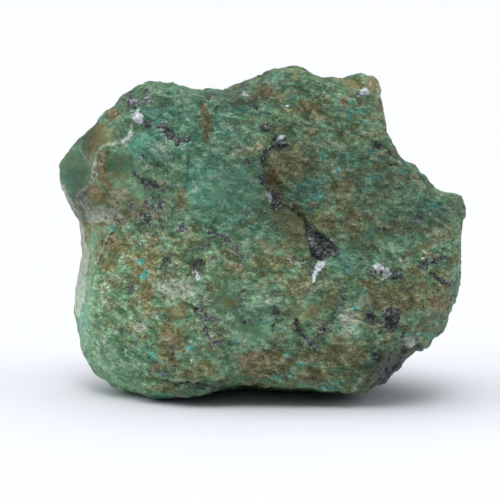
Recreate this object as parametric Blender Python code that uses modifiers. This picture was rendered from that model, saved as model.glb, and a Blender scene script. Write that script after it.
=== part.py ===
"""Chrysocolla specimen: one broken block of copper-stained rock, lying on its underside.

The block is drawn out from the outline of its broken face, knapped with plane cuts and
shell-shaped scoops, and drawn down to a belly that it rests on. Then its broken face gets
its folds, ridge, ledges, dishes and grooves, and the whole surface is chipped and
roughened. +X is to the right across the broken face, +Y runs from that face to the back,
and +Z is up.
The sizes below are millimetres, in a frame whose origin is under the outline's middle.
"""

import math

import bmesh
import bpy
import numpy as np
from mathutils import Matrix, Vector, noise

MM = 0.001
NODE = "chrysocolla_stone"

# The outline of the broken face, from its left tip over the top: (across, up).
OUTLINE = [
    (-62.0, 68.6), (-58.8, 74.2), (-52.4, 79.9), (-42.0, 90.2), (-36.8, 94.2),
    (-33.0, 95.6), (-28.2, 95.1), (-20.0, 93.0), (-12.6, 92.6), (-2.4, 96.2),
    (7.8, 99.4), (10.6, 99.8), (16.8, 96.6), (24.9, 95.9), (32.4, 99.8),
    (35.6, 99.4), (34.6, 91.5), (36.4, 86.0), (37.0, 78.6), (41.4, 73.2),
    (52.5, 63.8), (60.8, 61.8), (61.5, 56.5), (60.2, 51.3), (60.3, 42.9),
    (59.4, 31.5), (56.8, 26.2), (55.0, 20.4), (50.4, 15.8), (45.8, 15.4),
    (42.5, 11.4), (37.8, 5.6), (34.0, 3.6), (28.8, 2.4), (11.4, 4.2),
    (-4.5, 6.0), (-15.0, 3.0), (-28.2, 1.1), (-31.5, 0.0), (-43.6, 2.2),
    (-51.2, 5.8), (-55.0, 11.2), (-57.4, 24.0), (-57.2, 30.6), (-55.2, 41.0),
    (-55.5, 51.3), (-60.3, 62.5),
]
MIDDLE_UP = 50.0

# Sections drawn out from the outline, each from the one before it:
# (step towards the back, width scale, height scale, centre across, centre up).
FRONT_SECTIONS = [(-4.0, 0.978, 0.990, 45.0, 50.0), (-6.0, 0.958, 0.978, 45.0, 50.0)]
BACK_SECTIONS = [
    (14.0, 0.985, 0.965, 0.0, 46.0),
    (16.0, 0.93, 0.90, 2.0, 44.0),
    (14.0, 0.84, 0.80, 4.0, 44.0),
    (8.0, 0.70, 0.66, 4.0, 44.0),
]
LEAN = 0.09  # the broken face leans back by this much for each unit of height
LEFT_SWING = 9.0  # and the left flank's edge lies this far further back
SWING_START, SWING_END = -38.0, -56.0  # between these two places across

# The belly that the block rests on: its middle, its reach, and how far it drops.
BELLY_ACROSS, BELLY_BACK = -2.0, 20.0
BELLY_HALF_WIDTH, BELLY_HALF_DEPTH = 36.0, 14.0
BELLY_DROP = 17.0
BELLY_TOP = 22.0  # the sides are drawn down with it below this height
REST_TOUCH = 0.03  # whatever hangs no higher than this lies in the resting face

# Plane cuts through the back and the flanks: (a point of the cut, its outward normal).
KNAPS = [
    ((0.0, 44.5, 52.0), (0.06, 0.98, 0.10)),
    ((0.0, 31.0, 76.0), (-0.10, 0.74, 0.66)),
    ((26.0, 20.0, 84.0), (0.45, 0.55, 0.70)),
    ((-41.0, 34.0, 50.0), (-0.72, 0.68, 0.12)),
    ((-40.0, 31.0, 80.0), (-0.62, 0.50, 0.60)),
    ((43.0, 24.0, 40.0), (0.74, 0.64, 0.18)),
    ((36.0, 28.0, 12.0), (0.55, 0.60, -0.58)),
    ((-6.0, 38.0, 12.0), (-0.05, 0.80, -0.60)),
    ((-44.0, 22.0, 12.0), (-0.66, 0.45, -0.60)),
]

# Shell-shaped scoops out of the flanks and the back: (across, back, up, radius).
SCOOPS = [
    (-66.0, -24.0, 92.0, 24.0),
    (70.0, 30.0, 84.0, 34.0),
    (10.0, 74.0, 66.0, 36.0),
    (-22.0, 64.0, 26.0, 26.0),
]

# The broken face stands this far in front of its flat section, and falls away beyond
# each fold: (across, up, bearing of the fall in degrees from +X, fall per unit).
FACE_SWELL = 6.5
FACE_FRONT, FACE_RIM = -9.0, 2.0  # it moves wholly in front of the first, not behind this
FOLDS = [
    (-22.0, 50.0, 182.0, 0.16),
    (-10.0, 24.0, 268.0, 0.22),
    (-6.0, 12.0, 264.0, 0.40),
    (20.0, 70.0, 72.0, 0.12),
    (44.0, 52.0, 8.0, 0.20),
    (37.5, 17.5, 320.0, 0.95),
    (50.0, 25.0, 338.0, 0.55),
    (38.0, 72.0, 42.0, 0.45),
    (-34.0, 88.0, 120.0, 0.30),
]

# The sharp ridge left of which the face drops to the flank, from its top down.
RIDGE = [
    (-39.0, 94.0), (-42.5, 86.0), (-38.7, 80.5), (-45.0, 76.2), (-48.6, 73.5),
    (-50.1, 67.5), (-54.6, 60.0), (-54.0, 53.0), (-50.6, 42.0), (-52.4, 34.0),
    (-50.5, 20.0),
]
RIDGE_DROP = 1.0  # fall per unit beyond the ridge
RIDGE_LIP = 1.2  # height of the ridge's own crest above the face
CREST_WIDTH = 2.5  # and its width to either side

# Ledges: the side on the left of the direction of travel stands proud.
# (height of the step, how far back it fades, its line)
LEDGE_EDGE = 0.7  # half the width of a step
LEDGE_END = 0.2  # a ledge rises over this share of its line at either end
LEDGES = [
    (2.8, 26.0, [(24.0, 44.5), (15.9, 49.0), (12.0, 53.6), (3.0, 61.4), (-0.3, 66.5),
                 (-0.2, 74.0), (4.2, 78.0)]),
    (1.3, 12.0, [(-14.0, 4.6), (-21.0, 5.4), (-28.0, 5.8)]),
    (1.6, 14.0, [(29.0, 13.0), (34.0, 20.0), (43.0, 23.5), (54.0, 23.5)]),
    (1.1, 9.0, [(36.0, 8.0), (41.0, 14.0), (48.0, 18.5)]),
    (1.0, 10.0, [(-24.0, 36.0), (-30.0, 47.0), (-40.0, 54.0), (-50.0, 55.0)]),
    (0.9, 12.0, [(26.0, 95.5), (21.0, 86.0), (24.0, 78.0)]),
]

# Dishes, hollow with a crisp rim: (across, up, half width, half height, depth).
DISHES = [
    (-42.3, 69.0, 6.2, 6.6, 1.9),
    (-45.5, 57.5, 6.0, 4.6, 1.3),
    (-56.5, 68.0, 6.5, 9.0, 2.6),
    (9.5, 50.5, 5.2, 7.5, 1.7),
    (18.0, 45.8, 4.6, 4.0, 2.6),
    (16.2, 38.4, 1.9, 4.2, 1.3),
    (-19.2, 38.6, 1.9, 4.0, 1.6),
    (37.8, 38.6, 5.0, 2.8, 1.4),
    (27.0, 94.6, 3.8, 2.3, 2.6),
    (5.9, 76.4, 2.8, 2.6, 1.7),
    (-37.4, 84.8, 2.6, 3.2, 1.5),
    (-27.0, 79.8, 4.6, 2.6, 0.9),
    (2.1, 61.0, 2.0, 2.8, 1.6),
    (-16.0, 25.0, 3.0, 3.0, 1.0),
    (42.0, 17.0, 3.6, 2.2, 1.6),
    (-6.0, 4.0, 11.0, 5.0, 3.2),
]

# Grooves: (depth, half width, line).
GROOVES = [
    (1.1, 1.4, [(50.0, 38.0), (53.4, 36.2), (57.0, 33.6)]),
    (0.8, 1.4, [(9.9, 24.6), (11.4, 20.4), (15.9, 16.8), (20.4, 21.2), (22.8, 27.6),
                (24.3, 32.4)]),
    (0.7, 1.2, [(-15.6, 50.7), (-10.2, 47.6), (-4.8, 42.9)]),
    (0.9, 1.3, [(0.0, 78.0), (-0.6, 88.0), (-2.0, 93.0)]),
    (0.6, 1.2, [(-49.8, 42.0), (-44.4, 49.0)]),
]

# Lumps that stand out: (across, up, half width, half height, height).
SWELLS = [
    (-16.0, 62.0, 13.0, 15.0, 1.6),
    (28.0, 62.0, 18.0, 14.0, 1.5),
    (-30.0, 20.0, 14.0, 12.0, 1.6),
    (26.0, 22.0, 7.0, 8.0, 1.3),
    (33.0, 94.5, 2.4, 3.0, 1.5),
    (-34.0, 1.5, 5.0, 4.0, 2.0),
    (48.0, 48.0, 9.0, 8.0, 1.2),
]

# The roughness: chipped facets, with lumps over them of (size, height, pattern's shift).
CHIP_SIZE = 9.0
CHIP_TILT = 0.11  # how far a facet leans, per unit across it
CHIP_EDGE = 4.0  # how steeply it ends
CELL_MIX = 17.0  # takes neighbouring facets to unlike leans
LUMPS = [(21.0, 0.8, (0.0, 0.0, 0.0)), (6.5, 0.45, (7.0, 3.0, 1.0)), (3.2, 0.25, (1.0, 9.0, 4.0))]
FLANK_ROUGHNESS = 0.35  # the left flank's share of it, as it broke smoother
FLANK_BLEND = 2.0
VOXEL = 1.25
TRIANGLES = 9000


def smooth(low, high, value):
    """0 up to low, 1 from high, and an S-curve between them."""
    share = np.clip((value - low) / (high - low), 0.0, 1.0)
    return share * share * (3.0 - 2.0 * share)


def beside(across, up, line):
    """Distance from a line of points, positive on the left of its travel, and the share
    of the way along it where each nearest point lies."""
    nearest = np.full(len(across), 1e9)
    along = np.zeros(len(across))
    for step, ((ax, az), (bx, bz)) in enumerate(zip(line, line[1:])):
        dx, dz = bx - ax, bz - az
        share = ((across - ax) * dx + (up - az) * dz) / (dx * dx + dz * dz)
        share = np.clip(share, 0.0, 1.0)
        gap_x, gap_z = across - ax - share * dx, up - az - share * dz
        gap = np.hypot(gap_x, gap_z)
        side = np.where(dx * gap_z - dz * gap_x >= 0.0, 1.0, -1.0)
        closer = gap < np.abs(nearest) - 1e-9
        nearest = np.where(closer, gap * side, nearest)
        along = np.where(closer, (step + share) / (len(line) - 1), along)
    return nearest, along


def clear_scene():
    for thing in list(bpy.data.objects):
        bpy.data.objects.remove(thing)


def baked(thing):
    """A mesh of the object as its modifiers leave it."""
    bpy.context.view_layer.update()
    graph = bpy.context.evaluated_depsgraph_get()
    return bpy.data.meshes.new_from_object(thing.evaluated_get(graph))


def draw_out(block, middle, sections):
    """Extrudes the outline's face through its sections, each scaled about its centre."""
    cap = middle
    for step, wide, high, centre_across, centre_up in sections:
        made = bmesh.ops.extrude_face_region(block, geom=[cap])["geom"]
        corners = [part for part in made if isinstance(part, bmesh.types.BMVert)]
        about = Matrix.Translation((-centre_across, 0.0, -centre_up))
        bmesh.ops.scale(block, vec=(wide, 1.0, high), space=about, verts=corners)
        bmesh.ops.translate(block, vec=(0.0, step, 0.0), verts=corners)
        if cap is not middle:
            bmesh.ops.delete(block, geom=[cap], context="FACES_ONLY")
        cap = next(part for part in made if isinstance(part, bmesh.types.BMFace))


def rough_block():
    """The outline drawn out to the front and the back, and leaned."""
    block = bmesh.new()
    rim = [block.verts.new((across, 0.0, up)) for across, up in OUTLINE]
    middle = block.faces.new(rim)
    draw_out(block, middle, BACK_SECTIONS)
    draw_out(block, middle, FRONT_SECTIONS)
    bmesh.ops.delete(block, geom=[middle], context="FACES_ONLY")
    for corner in block.verts:
        swing = 1.0 - float(smooth(SWING_END, SWING_START, corner.co.x))
        corner.co.y += LEAN * (corner.co.z - MIDDLE_UP) + LEFT_SWING * swing
    bmesh.ops.triangulate(block, faces=block.faces[:])
    bmesh.ops.recalc_face_normals(block, faces=block.faces[:])
    mesh = bpy.data.meshes.new("rough_block")
    block.to_mesh(mesh)
    block.free()
    return mesh


def remeshed(stone):
    """The stone's mesh rebuilt with even faces."""
    step = stone.modifiers.new("even_mesh", "REMESH")
    step.mode = "VOXEL"
    step.voxel_size = VOXEL
    mesh = baked(stone)
    stone.modifiers.clear()
    return mesh


def face_relief(across, up):
    """How far the broken face stands forward of its flat section at each place."""
    height = np.full(len(across), FACE_SWELL)
    for fold_across, fold_up, bearing, fall in FOLDS:
        turn = math.radians(bearing)
        beyond = (across - fold_across) * math.cos(turn) + (up - fold_up) * math.sin(turn)
        height -= fall * np.maximum(0.0, beyond)
    for swell_across, swell_up, half_width, half_height, rise in SWELLS:
        reach = ((across - swell_across) / half_width) ** 2
        reach += ((up - swell_up) / half_height) ** 2
        height += rise * np.exp(-reach)
    gap, _ = beside(across, up, RIDGE)
    height -= RIDGE_DROP * np.maximum(0.0, -gap)
    height += RIDGE_LIP * np.maximum(0.0, 1.0 - np.abs(gap) / CREST_WIDTH)
    for rise, fade, line in LEDGES:
        gap, along = beside(across, up, line)
        ends = smooth(0.0, LEDGE_END, along) * smooth(1.0, 1.0 - LEDGE_END, along)
        step = smooth(-LEDGE_EDGE, LEDGE_EDGE, gap)
        height += rise * ends * step * np.exp(-np.maximum(0.0, gap) / fade)
    for dish_across, dish_up, half_width, half_height, depth in DISHES:
        reach = ((across - dish_across) / half_width) ** 2
        reach += ((up - dish_up) / half_height) ** 2
        height -= depth * np.maximum(0.0, 1.0 - reach)
    for depth, half_width, line in GROOVES:
        gap, _ = beside(across, up, line)
        height -= depth * np.maximum(0.0, 1.0 - (gap / half_width) ** 2)
    return height


def chip_height(place):
    """Height of the chipped facets and the smaller lumps, along the surface's normal."""
    gaps, cells = noise.voronoi(place / CHIP_SIZE)
    facets = []
    for gap, cell in zip(gaps, cells):
        lean = (noise.cell_vector(cell * CELL_MIX) * 2.0 - Vector((1.0, 1.0, 1.0))) * CHIP_TILT
        facets.append(lean.dot(place - cell * CHIP_SIZE) + CHIP_EDGE * (gap - gaps[0]))
    lumps = [noise.noise(place / size + Vector(shift)) * rise for size, rise, shift in LUMPS]
    return min(facets) + sum(lumps)


def coordinates(mesh, what):
    values = np.empty(len(mesh.vertices) * 3)
    mesh.vertices.foreach_get(what, values)
    return values.reshape(-1, 3)


def move_to(mesh, places):
    mesh.vertices.foreach_set("co", places.ravel())
    mesh.update()


def knap(mesh):
    """Takes the surface in to the plane cuts and the scoops, and down to the belly."""
    places = coordinates(mesh, "co")
    for point, normal in KNAPS:
        outward = np.array(normal) / np.linalg.norm(normal)
        beyond = np.maximum(0.0, (places - point) @ outward)
        places -= beyond[:, None] * outward
    for across, back, up, radius in SCOOPS:
        reach = places - (across, back, up)
        gap = np.linalg.norm(reach, axis=1)
        push = np.maximum(0.0, radius - gap) / gap
        places += reach * push[:, None]
    across, back, up = places.T
    reach = ((across - BELLY_ACROSS) / BELLY_HALF_WIDTH) ** 2
    reach += ((back - BELLY_BACK) / BELLY_HALF_DEPTH) ** 2
    places[:, 2] -= BELLY_DROP * np.exp(-reach) * smooth(BELLY_TOP, 0.0, up)
    move_to(mesh, places)


def shape_face(mesh):
    """Moves the broken face to its relief."""
    places = coordinates(mesh, "co")
    across, back, up = places.T
    forward = smooth(FACE_RIM, FACE_FRONT, back - LEAN * (up - MIDDLE_UP))
    places[:, 1] -= forward * face_relief(across, up)
    move_to(mesh, places)


def roughen(mesh):
    """Chips the whole surface, the left flank less than the rest."""
    places = coordinates(mesh, "co")
    heights = np.array([chip_height(Vector(place)) for place in places])
    gap, _ = beside(places[:, 0], places[:, 2], RIDGE)
    heights *= FLANK_ROUGHNESS + (1.0 - FLANK_ROUGHNESS) * smooth(-FLANK_BLEND, 0.0, gap)
    places += coordinates(mesh, "normal") * heights[:, None]
    move_to(mesh, places)


def thinned(stone):
    """The stone's mesh with flat stretches in fewer triangles."""
    count = sum(len(face.vertices) - 2 for face in stone.data.polygons)
    step = stone.modifiers.new("fewer_faces", "DECIMATE")
    step.ratio = TRIANGLES / count
    mesh = baked(stone)
    stone.modifiers.clear()
    return mesh


def wear_flat(mesh):
    """Wears away all that hangs below the resting face."""
    places = coordinates(mesh, "co")
    places[:, 2] = np.where(places[:, 2] < REST_TOUCH, 0.0, places[:, 2])
    move_to(mesh, places)


def seat(mesh):
    """Centres the stone over its resting face, in metres."""
    places = coordinates(mesh, "co")
    middle = (places.min(axis=0) + places.max(axis=0)) / 2
    places -= (middle[0], middle[1], 0.0)
    move_to(mesh, places * MM)


def stone_material():
    material = bpy.data.materials.new("green_copper_rock")
    material.use_nodes = True
    shader = material.node_tree.nodes["Principled BSDF"]
    shader.inputs["Base Color"].default_value = (0.085, 0.19, 0.115, 1.0)
    shader.inputs["Roughness"].default_value = 0.72
    shader.inputs["Metallic"].default_value = 0.0
    return material


def build():
    clear_scene()
    specimen = bpy.data.collections.new("chrysocolla_specimen")
    bpy.context.scene.collection.children.link(specimen)
    stone = bpy.data.objects.new(NODE, rough_block())
    specimen.objects.link(stone)
    stone.data = remeshed(stone)
    knap(stone.data)
    stone.data = remeshed(stone)
    shape_face(stone.data)
    stone.data = remeshed(stone)
    roughen(stone.data)
    wear_flat(stone.data)
    stone.data = thinned(stone)
    wear_flat(stone.data)
    seat(stone.data)
    stone.data.materials.append(stone_material())


build()
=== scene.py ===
import math

import bmesh
import bpy
import numpy as np
from mathutils import Matrix, Vector, noise
from mathutils.bvhtree import BVHTree


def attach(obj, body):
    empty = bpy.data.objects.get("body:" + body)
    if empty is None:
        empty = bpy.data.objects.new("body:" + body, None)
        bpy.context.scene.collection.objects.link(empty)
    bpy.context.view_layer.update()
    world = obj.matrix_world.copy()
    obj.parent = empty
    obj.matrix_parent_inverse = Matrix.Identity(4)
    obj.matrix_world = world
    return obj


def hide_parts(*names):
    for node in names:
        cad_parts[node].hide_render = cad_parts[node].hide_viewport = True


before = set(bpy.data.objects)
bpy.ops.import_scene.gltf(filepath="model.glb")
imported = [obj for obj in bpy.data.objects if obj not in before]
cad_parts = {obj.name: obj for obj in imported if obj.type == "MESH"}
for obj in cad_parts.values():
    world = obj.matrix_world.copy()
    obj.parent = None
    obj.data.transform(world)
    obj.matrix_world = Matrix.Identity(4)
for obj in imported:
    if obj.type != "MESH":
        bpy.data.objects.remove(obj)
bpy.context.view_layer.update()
scene = bpy.context.scene
scene.view_settings.view_transform = "Standard"


# ---- Camera ----
# A long lens, a little above the level of the stone's middle and square to its broken
# face, so that the stone fills four fifths of the frame.
EYE_AIM = Vector((-0.0040, -0.013, 0.045))
EYE_DISTANCE = 0.7
EYE_ELEVATION = math.radians(8.0)
FIELD_WIDTH = 0.15  # metres seen across the frame at the aim
SENSOR = 36.0
eye_back = Vector((0.0, -math.cos(EYE_ELEVATION), math.sin(EYE_ELEVATION)))
camera = bpy.data.objects.new("camera", bpy.data.cameras.new("camera"))
camera.data.sensor_width = SENSOR
camera.data.lens = SENSOR * EYE_DISTANCE / FIELD_WIDTH
camera.data.clip_start = 0.01
camera.location = EYE_AIM + eye_back * EYE_DISTANCE
camera.rotation_euler = eye_back.to_track_quat("Z", "Y").to_euler()
scene.collection.objects.link(camera)
scene.camera = camera


# ---- The stone ----
# One hand-sized block of green copper silicate with brown iron stain, dark oxide veins and
# a little quartz, struck from its vein. The front broke rough and crumbly along the
# bedding, with shell-smooth scoops at the left, and the soft veins have weathered back.
MM = 0.001
EVEN_STEP = 0.00098  # the even mesh's spacing, in metres; it is halved where the face shows
WEAR, WEAR_ROUNDS = 0.5, 2  # how much each round takes off the corners, and the rounds
TRUE_FORM = 0.8  # how far the evened mesh is drawn back out to the broken block's own form
SHOWS = 0.34  # faces turned at least this much to the front get the finer mesh


def baked(thing):
    """A mesh of the object as its modifiers leave it."""
    bpy.context.view_layer.update()
    graph = bpy.context.evaluated_depsgraph_get()
    return bpy.data.meshes.new_from_object(thing.evaluated_get(graph))


def coordinates(mesh, what):
    """The places or the normals of a mesh's vertices, a row for each."""
    values = np.empty(len(mesh.vertices) * 3)
    mesh.vertices.foreach_get(what, values)
    return values.reshape(-1, 3)


block = bmesh.new()
block.from_mesh(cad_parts["chrysocolla_stone"].data)
bmesh.ops.remove_doubles(block, verts=block.verts[:], dist=1e-6)
mesh = bpy.data.meshes.new("rock_block")
block.to_mesh(mesh)
block.free()
stone = bpy.data.objects.new("rock_block", mesh)
scene.collection.objects.link(stone)
step = stone.modifiers.new("even", "REMESH")
step.mode = "VOXEL"
step.voxel_size = EVEN_STEP
step = stone.modifiers.new("worn", "SMOOTH")
step.factor = WEAR
step.iterations = WEAR_ROUNDS
mesh = baked(stone)
stone.modifiers.clear()

form = bmesh.new()
form.from_mesh(stone.data)
surface = BVHTree.FromBMesh(form)
form.free()
for vertex in mesh.vertices:
    vertex.co = vertex.co.lerp(surface.find_nearest(vertex.co)[0], TRUE_FORM)
block = bmesh.new()
block.from_mesh(mesh)
block.normal_update()
showing = [face for face in block.faces if face.normal.dot(eye_back) > SHOWS]
edges = list({edge for face in showing for edge in face.edges})
bmesh.ops.subdivide_edges(block, edges=edges, cuts=1, use_grid_fill=True, smooth=0.0)
block.to_mesh(mesh)
block.free()
mesh.update()
stone.data = mesh

# Places on the broken face are read off a chart laid over it in 0.3 mm squares, 500 to a
# side, counted from the left and from the top, and drawn along lines that close in on a
# point 0.7 m in front, sloping 8 degrees down.
CHART_SQUARES = 500
CHART_SCALE = CHART_SQUARES * EYE_DISTANCE / FIELD_WIDTH
SQUARE = FIELD_WIDTH / CHART_SQUARES / MM


def smooth(low, high, value):
    """0 up to low, 1 from high, and an S-curve between them."""
    share = np.clip((value - low) / (high - low), 0.0, 1.0)
    return share * share * (3.0 - 2.0 * share)


def lumps(places, size, shift):
    """Smooth noise from -1 to 1 over places in mm, with lumps of about the given size."""
    grid = (places / size + shift).tolist()
    return np.array([noise.noise(place) for place in grid])


def chart(places):
    """Where the chart's lines meet each place, in squares from its left and its top."""
    reach = places - np.array(EYE_AIM + eye_back * EYE_DISTANCE)
    ahead = reach @ -np.array(eye_back)
    rise = reach @ np.array((0.0, math.sin(EYE_ELEVATION), math.cos(EYE_ELEVATION)))
    middle = CHART_SQUARES / 2
    return middle + CHART_SCALE * reach[:, 0] / ahead, middle - CHART_SCALE * rise / ahead


def beside(across, down, line):
    """Distance from a line on the chart, positive to the right of its travel."""
    nearest = np.full(len(across), 1e9)
    for (ax, ay), (bx, by) in zip(line, line[1:]):
        dx, dy = bx - ax, by - ay
        share = ((across - ax) * dx + (down - ay) * dy) / (dx * dx + dy * dy)
        share = np.clip(share, 0.0, 1.0)
        gap_x, gap_y = across - ax - share * dx, down - ay - share * dy
        gap = np.hypot(gap_x, gap_y)
        side = np.where(dx * gap_y - dy * gap_x >= 0.0, 1.0, -1.0)
        closer = gap < np.abs(nearest) - 1e-9
        nearest = np.where(closer, gap * side, nearest)
    return nearest


def patches(across, down, blots):
    """How deep each place lies in any of the blots: 1 in the middle, 0.5 on the outline
    and 0 well outside. A blot is (across, down, half width, half height, turn, strength)."""
    amount = np.zeros(len(across))
    for middle_across, middle_down, wide, high, turn, strength in blots:
        cos, sin = math.cos(math.radians(turn)), math.sin(math.radians(turn))
        along = (across - middle_across) * cos - (down - middle_down) * sin
        over = (across - middle_across) * sin + (down - middle_down) * cos
        reach = np.hypot(along / wide, over / high)
        amount = np.maximum(amount, strength * smooth(1.7, 0.3, reach))
    return amount


def shards(across, down, outlines):
    """The same for straight-sided outlines: each is (strength, its corners clockwise)."""
    amount = np.zeros(len(across))
    for strength, corners in outlines:
        depth = np.full(len(across), 1e9)
        for (ax, ay), (bx, by) in zip(corners, corners[1:] + corners[:1]):
            dx, dy = bx - ax, by - ay
            gap = (dx * (down - ay) - dy * (across - ax)) / math.hypot(dx, dy)
            depth = np.minimum(depth, gap)
        amount = np.maximum(amount, strength * smooth(-1.5, 1.5, depth))
    return amount


def streaks(across, down, lines):
    """The same for lines: each is (half width, strength, its points)."""
    amount = np.zeros(len(across))
    for wide, strength, line in lines:
        reach = np.abs(beside(across, down, line)) / wide
        amount = np.maximum(amount, strength * smooth(1.7, 0.3, reach))
    return amount


rest = coordinates(mesh, "co")
normals = coordinates(mesh, "normal")
points = rest / MM
# How far each place is turned to the front: the minerals of the broken face end at its
# edge, its relief a little before that, and its broad tone, which is partly painted light
# and shade, runs on round the sides.
turned = normals @ np.array(eye_back)
facing = smooth(-0.15, 0.12, turned)
square_on = smooth(0.05, 0.40, turned)
around = smooth(-0.9, 0.1, turned)
away = 1.0 - facing
fore = smooth(20.0, -6.0, points[:, 1])  # the front part, which the wide forms move
ground = smooth(0.2, 3.0, points[:, 2])  # the foot stays as it stands on the floor
across, down = chart(rest)
# Outlines on the chart are made ragged by a waver of about 3 squares in two sizes of lumps,
# 3.4 mm and 1.5 mm. Straight sides and the broad tone with its painted light and shade
# take only these shares of it.
BENT, TONE_BENT = 0.35, 0.6
warp_across = 3.0 * lumps(points, 3.4, 11.0) + 3.2 * lumps(points, 1.5, 3.0)
warp_down = 3.0 * lumps(points, 3.4, 31.0) + 3.2 * lumps(points, 1.5, 23.0)
ragged_across, ragged_down = across + warp_across, down + warp_down
bent_across, bent_down = across + BENT * warp_across, down + BENT * warp_down

# Lines and outlines that a form and a mineral share: the ridge between the two scoops, the
# veins, the dark breaks beside them, and the facets.
SCOOP_RIDGE = [
    (132, 134), (122, 143), (112, 146), (104, 147), (98, 154), (96, 163), (93, 175), (89, 185),
    (84, 192), (79, 198),
]
MAIN_VEIN = [(275, 143), (264, 152), (261, 164), (262, 182), (268, 192), (276, 200)]
LOW_VEIN = [(295, 319), (298, 330), (307, 338), (316, 345)]
LEFT_VEIN = [(160, 125), (168, 134), (178, 141), (186, 138)]
SCOOP_VEIN = [(134, 176), (146, 182), (159, 189)]
MIDDLE_VEIN = [(208, 230), (222, 238), (232, 244), (241, 256)]
THIN_VEIN = [(173, 346), (175, 374)]
FOOT_VEIN = [(163, 381), (190, 382), (214, 385), (224, 381)]
UPPER_CRACK = [(192, 148), (188, 165), (186, 180)]
VEIN_POCKET = [(306, 231), (322, 234), (341, 250), (339, 256), (320, 262), (311, 257)]
POCKET_LIP = [(303, 220), (310, 226), (315, 233), (308, 237), (304, 231)]
VEIN_NOTCH = [(270, 200), (281, 203), (289, 208), (277, 214), (270, 211)]
RIGHT_NOTCH = [(370, 151), (377, 142), (386, 147), (381, 152)]
SCOOP_FOOT = [(104, 192), (128, 189), (126, 200), (118, 214), (104, 214)]
KNOB = [(86, 192), (92, 186), (98, 187), (103, 193), (103, 200), (98, 205), (88, 204)]
SMALL_FACET = [(131, 188), (143, 189), (143, 204), (131, 206)]
TOP_LEDGE = [(344, 81), (354, 79), (361, 83), (363, 88), (353, 88), (345, 85)]
TOP_SLIVER = [(374, 98), (380, 97), (388, 114), (381, 112)]
MIDDLE_HOLLOW = [(272, 212), (290, 211), (302, 219), (310, 250), (284, 250)]

# The smooth, shell-broken parts.
CALM_BLOTS = [
    (76, 172, 17, 25, 10, 1.0), (96, 140, 15, 14, 45, 0.9), (121, 170, 17, 17, 0, 1.0),
    (97, 190, 12, 12, 0, 0.6), (110, 207, 22, 11, 10, 0.9), (82, 290, 11, 80, 0, 0.8),
    (92, 235, 8, 26, -15, 0.8), (227, 303, 11, 6, 0, 0.9), (138, 143, 12, 8, 30, 0.7),
    (292, 228, 16, 24, -25, 0.15), (374, 84, 8, 12, 0, 0.9), (112, 372, 22, 14, -30, 0.4),
    (220, 190, 34, 26, 0, 0.45), (134, 197, 9, 8, 0, 0.8), (258, 326, 12, 12, 0, 0.35),
    (306, 310, 12, 9, 0, 0.5), (180, 312, 12, 8, 0, 0.5),
]
CALM_SHARDS = [
    (0.9, [(60, 164), (74, 149), (86, 158), (92, 172), (89, 184), (79, 198), (68, 190)]),
    (0.8, [(104, 156), (124, 155), (131, 168), (130, 184), (114, 184), (106, 172)]),
    (0.8, SCOOP_FOOT), (0.5, KNOB), (0.7, SMALL_FACET),
    (0.9, [(371, 74), (380, 76), (380, 96), (388, 114), (381, 112), (372, 97)]), (0.8, TOP_LEDGE),
    (0.3, MIDDLE_HOLLOW),
]
calm = np.maximum(patches(across, down, CALM_BLOTS), shards(across, down, CALM_SHARDS)) * facing
calm = np.maximum(calm, away * smooth(0.15, 0.55, lumps(points, 26.0, 5.0)) * 0.6)

# Veins that have weathered back: (depth in mm, half width, line), and pockets in them,
# whose strength is their depth in mm.
VEINS = [
    (0.6, 3.4, MAIN_VEIN), (0.5, 2.0, [(276, 200), (290, 210), (302, 219), (308, 228)]),
    (0.7, 2.4, LOW_VEIN), (0.7, 2.6, [(343, 292), (338, 307), (332, 321), (325, 331)]),
    (0.6, 2.2, LEFT_VEIN), (0.7, 2.4, SCOOP_VEIN), (0.5, 2.0, MIDDLE_VEIN),
    (0.8, 2.0, [(430, 274), (440, 280), (453, 288)]), (0.5, 1.6, [(436, 262), (447, 257)]),
    (0.6, 2.0, [(188, 275), (195, 270), (200, 262)]), (0.4, 1.4, [(273, 316), (271, 334)]),
    (0.5, 1.6, THIN_VEIN), (0.4, 1.4, [(96, 260), (104, 250), (115, 237)]), (1.0, 1.7, FOOT_VEIN),
    (0.4, 1.4, [(199, 100), (203, 112), (209, 125), (209, 140), (204, 148)]),
    (0.5, 1.8, UPPER_CRACK), (0.5, 1.5, [(402, 333), (414, 345), (424, 350)]),
    (0.4, 1.6, [(360, 352), (372, 345), (388, 338)]),
    (0.4, 1.5, [(366, 366), (380, 356), (396, 350)]),
]
POCKETS = [
    (283, 145, 6, 5, 0, 1.0), (315, 268, 4, 8, 15, 0.4), (131, 103, 7, 6, 0, 0.6),
    (146, 125, 4, 4, 0, 0.8), (378, 272, 7, 6, 0, 0.6), (397, 276, 7, 4, 0, 0.7),
    (370, 316, 4, 6, 0, 0.5), (325, 327, 5, 6, 0, 0.4), (198, 266, 5, 5, 30, 0.9),
    (208, 317, 8, 5, 0, 0.5), (275, 312, 4, 5, 0, 0.4), (426, 264, 8, 4, 0, 0.6),
    (380, 231, 8, 3, 0, 0.5), (152, 208, 12, 13, 0, 0.5), (263, 130, 5, 5, 0, 0.6),
    (255, 106, 5, 7, 0, 0.5), (378, 145, 6, 4, 0, 0.5), (362, 96, 5, 4, 0, 0.5),
    (391, 166, 2, 2, 0, 0.6), (418, 221, 3, 4, 0, 0.5), (248, 212, 3, 4, 0, 0.5),
    (198, 307, 4, 6, 0, 0.5), (181, 228, 7, 5, 0, 0.4), (130, 290, 4, 4, 0, 0.5),
    (170, 262, 7, 8, 0, 0.4),
]
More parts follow.
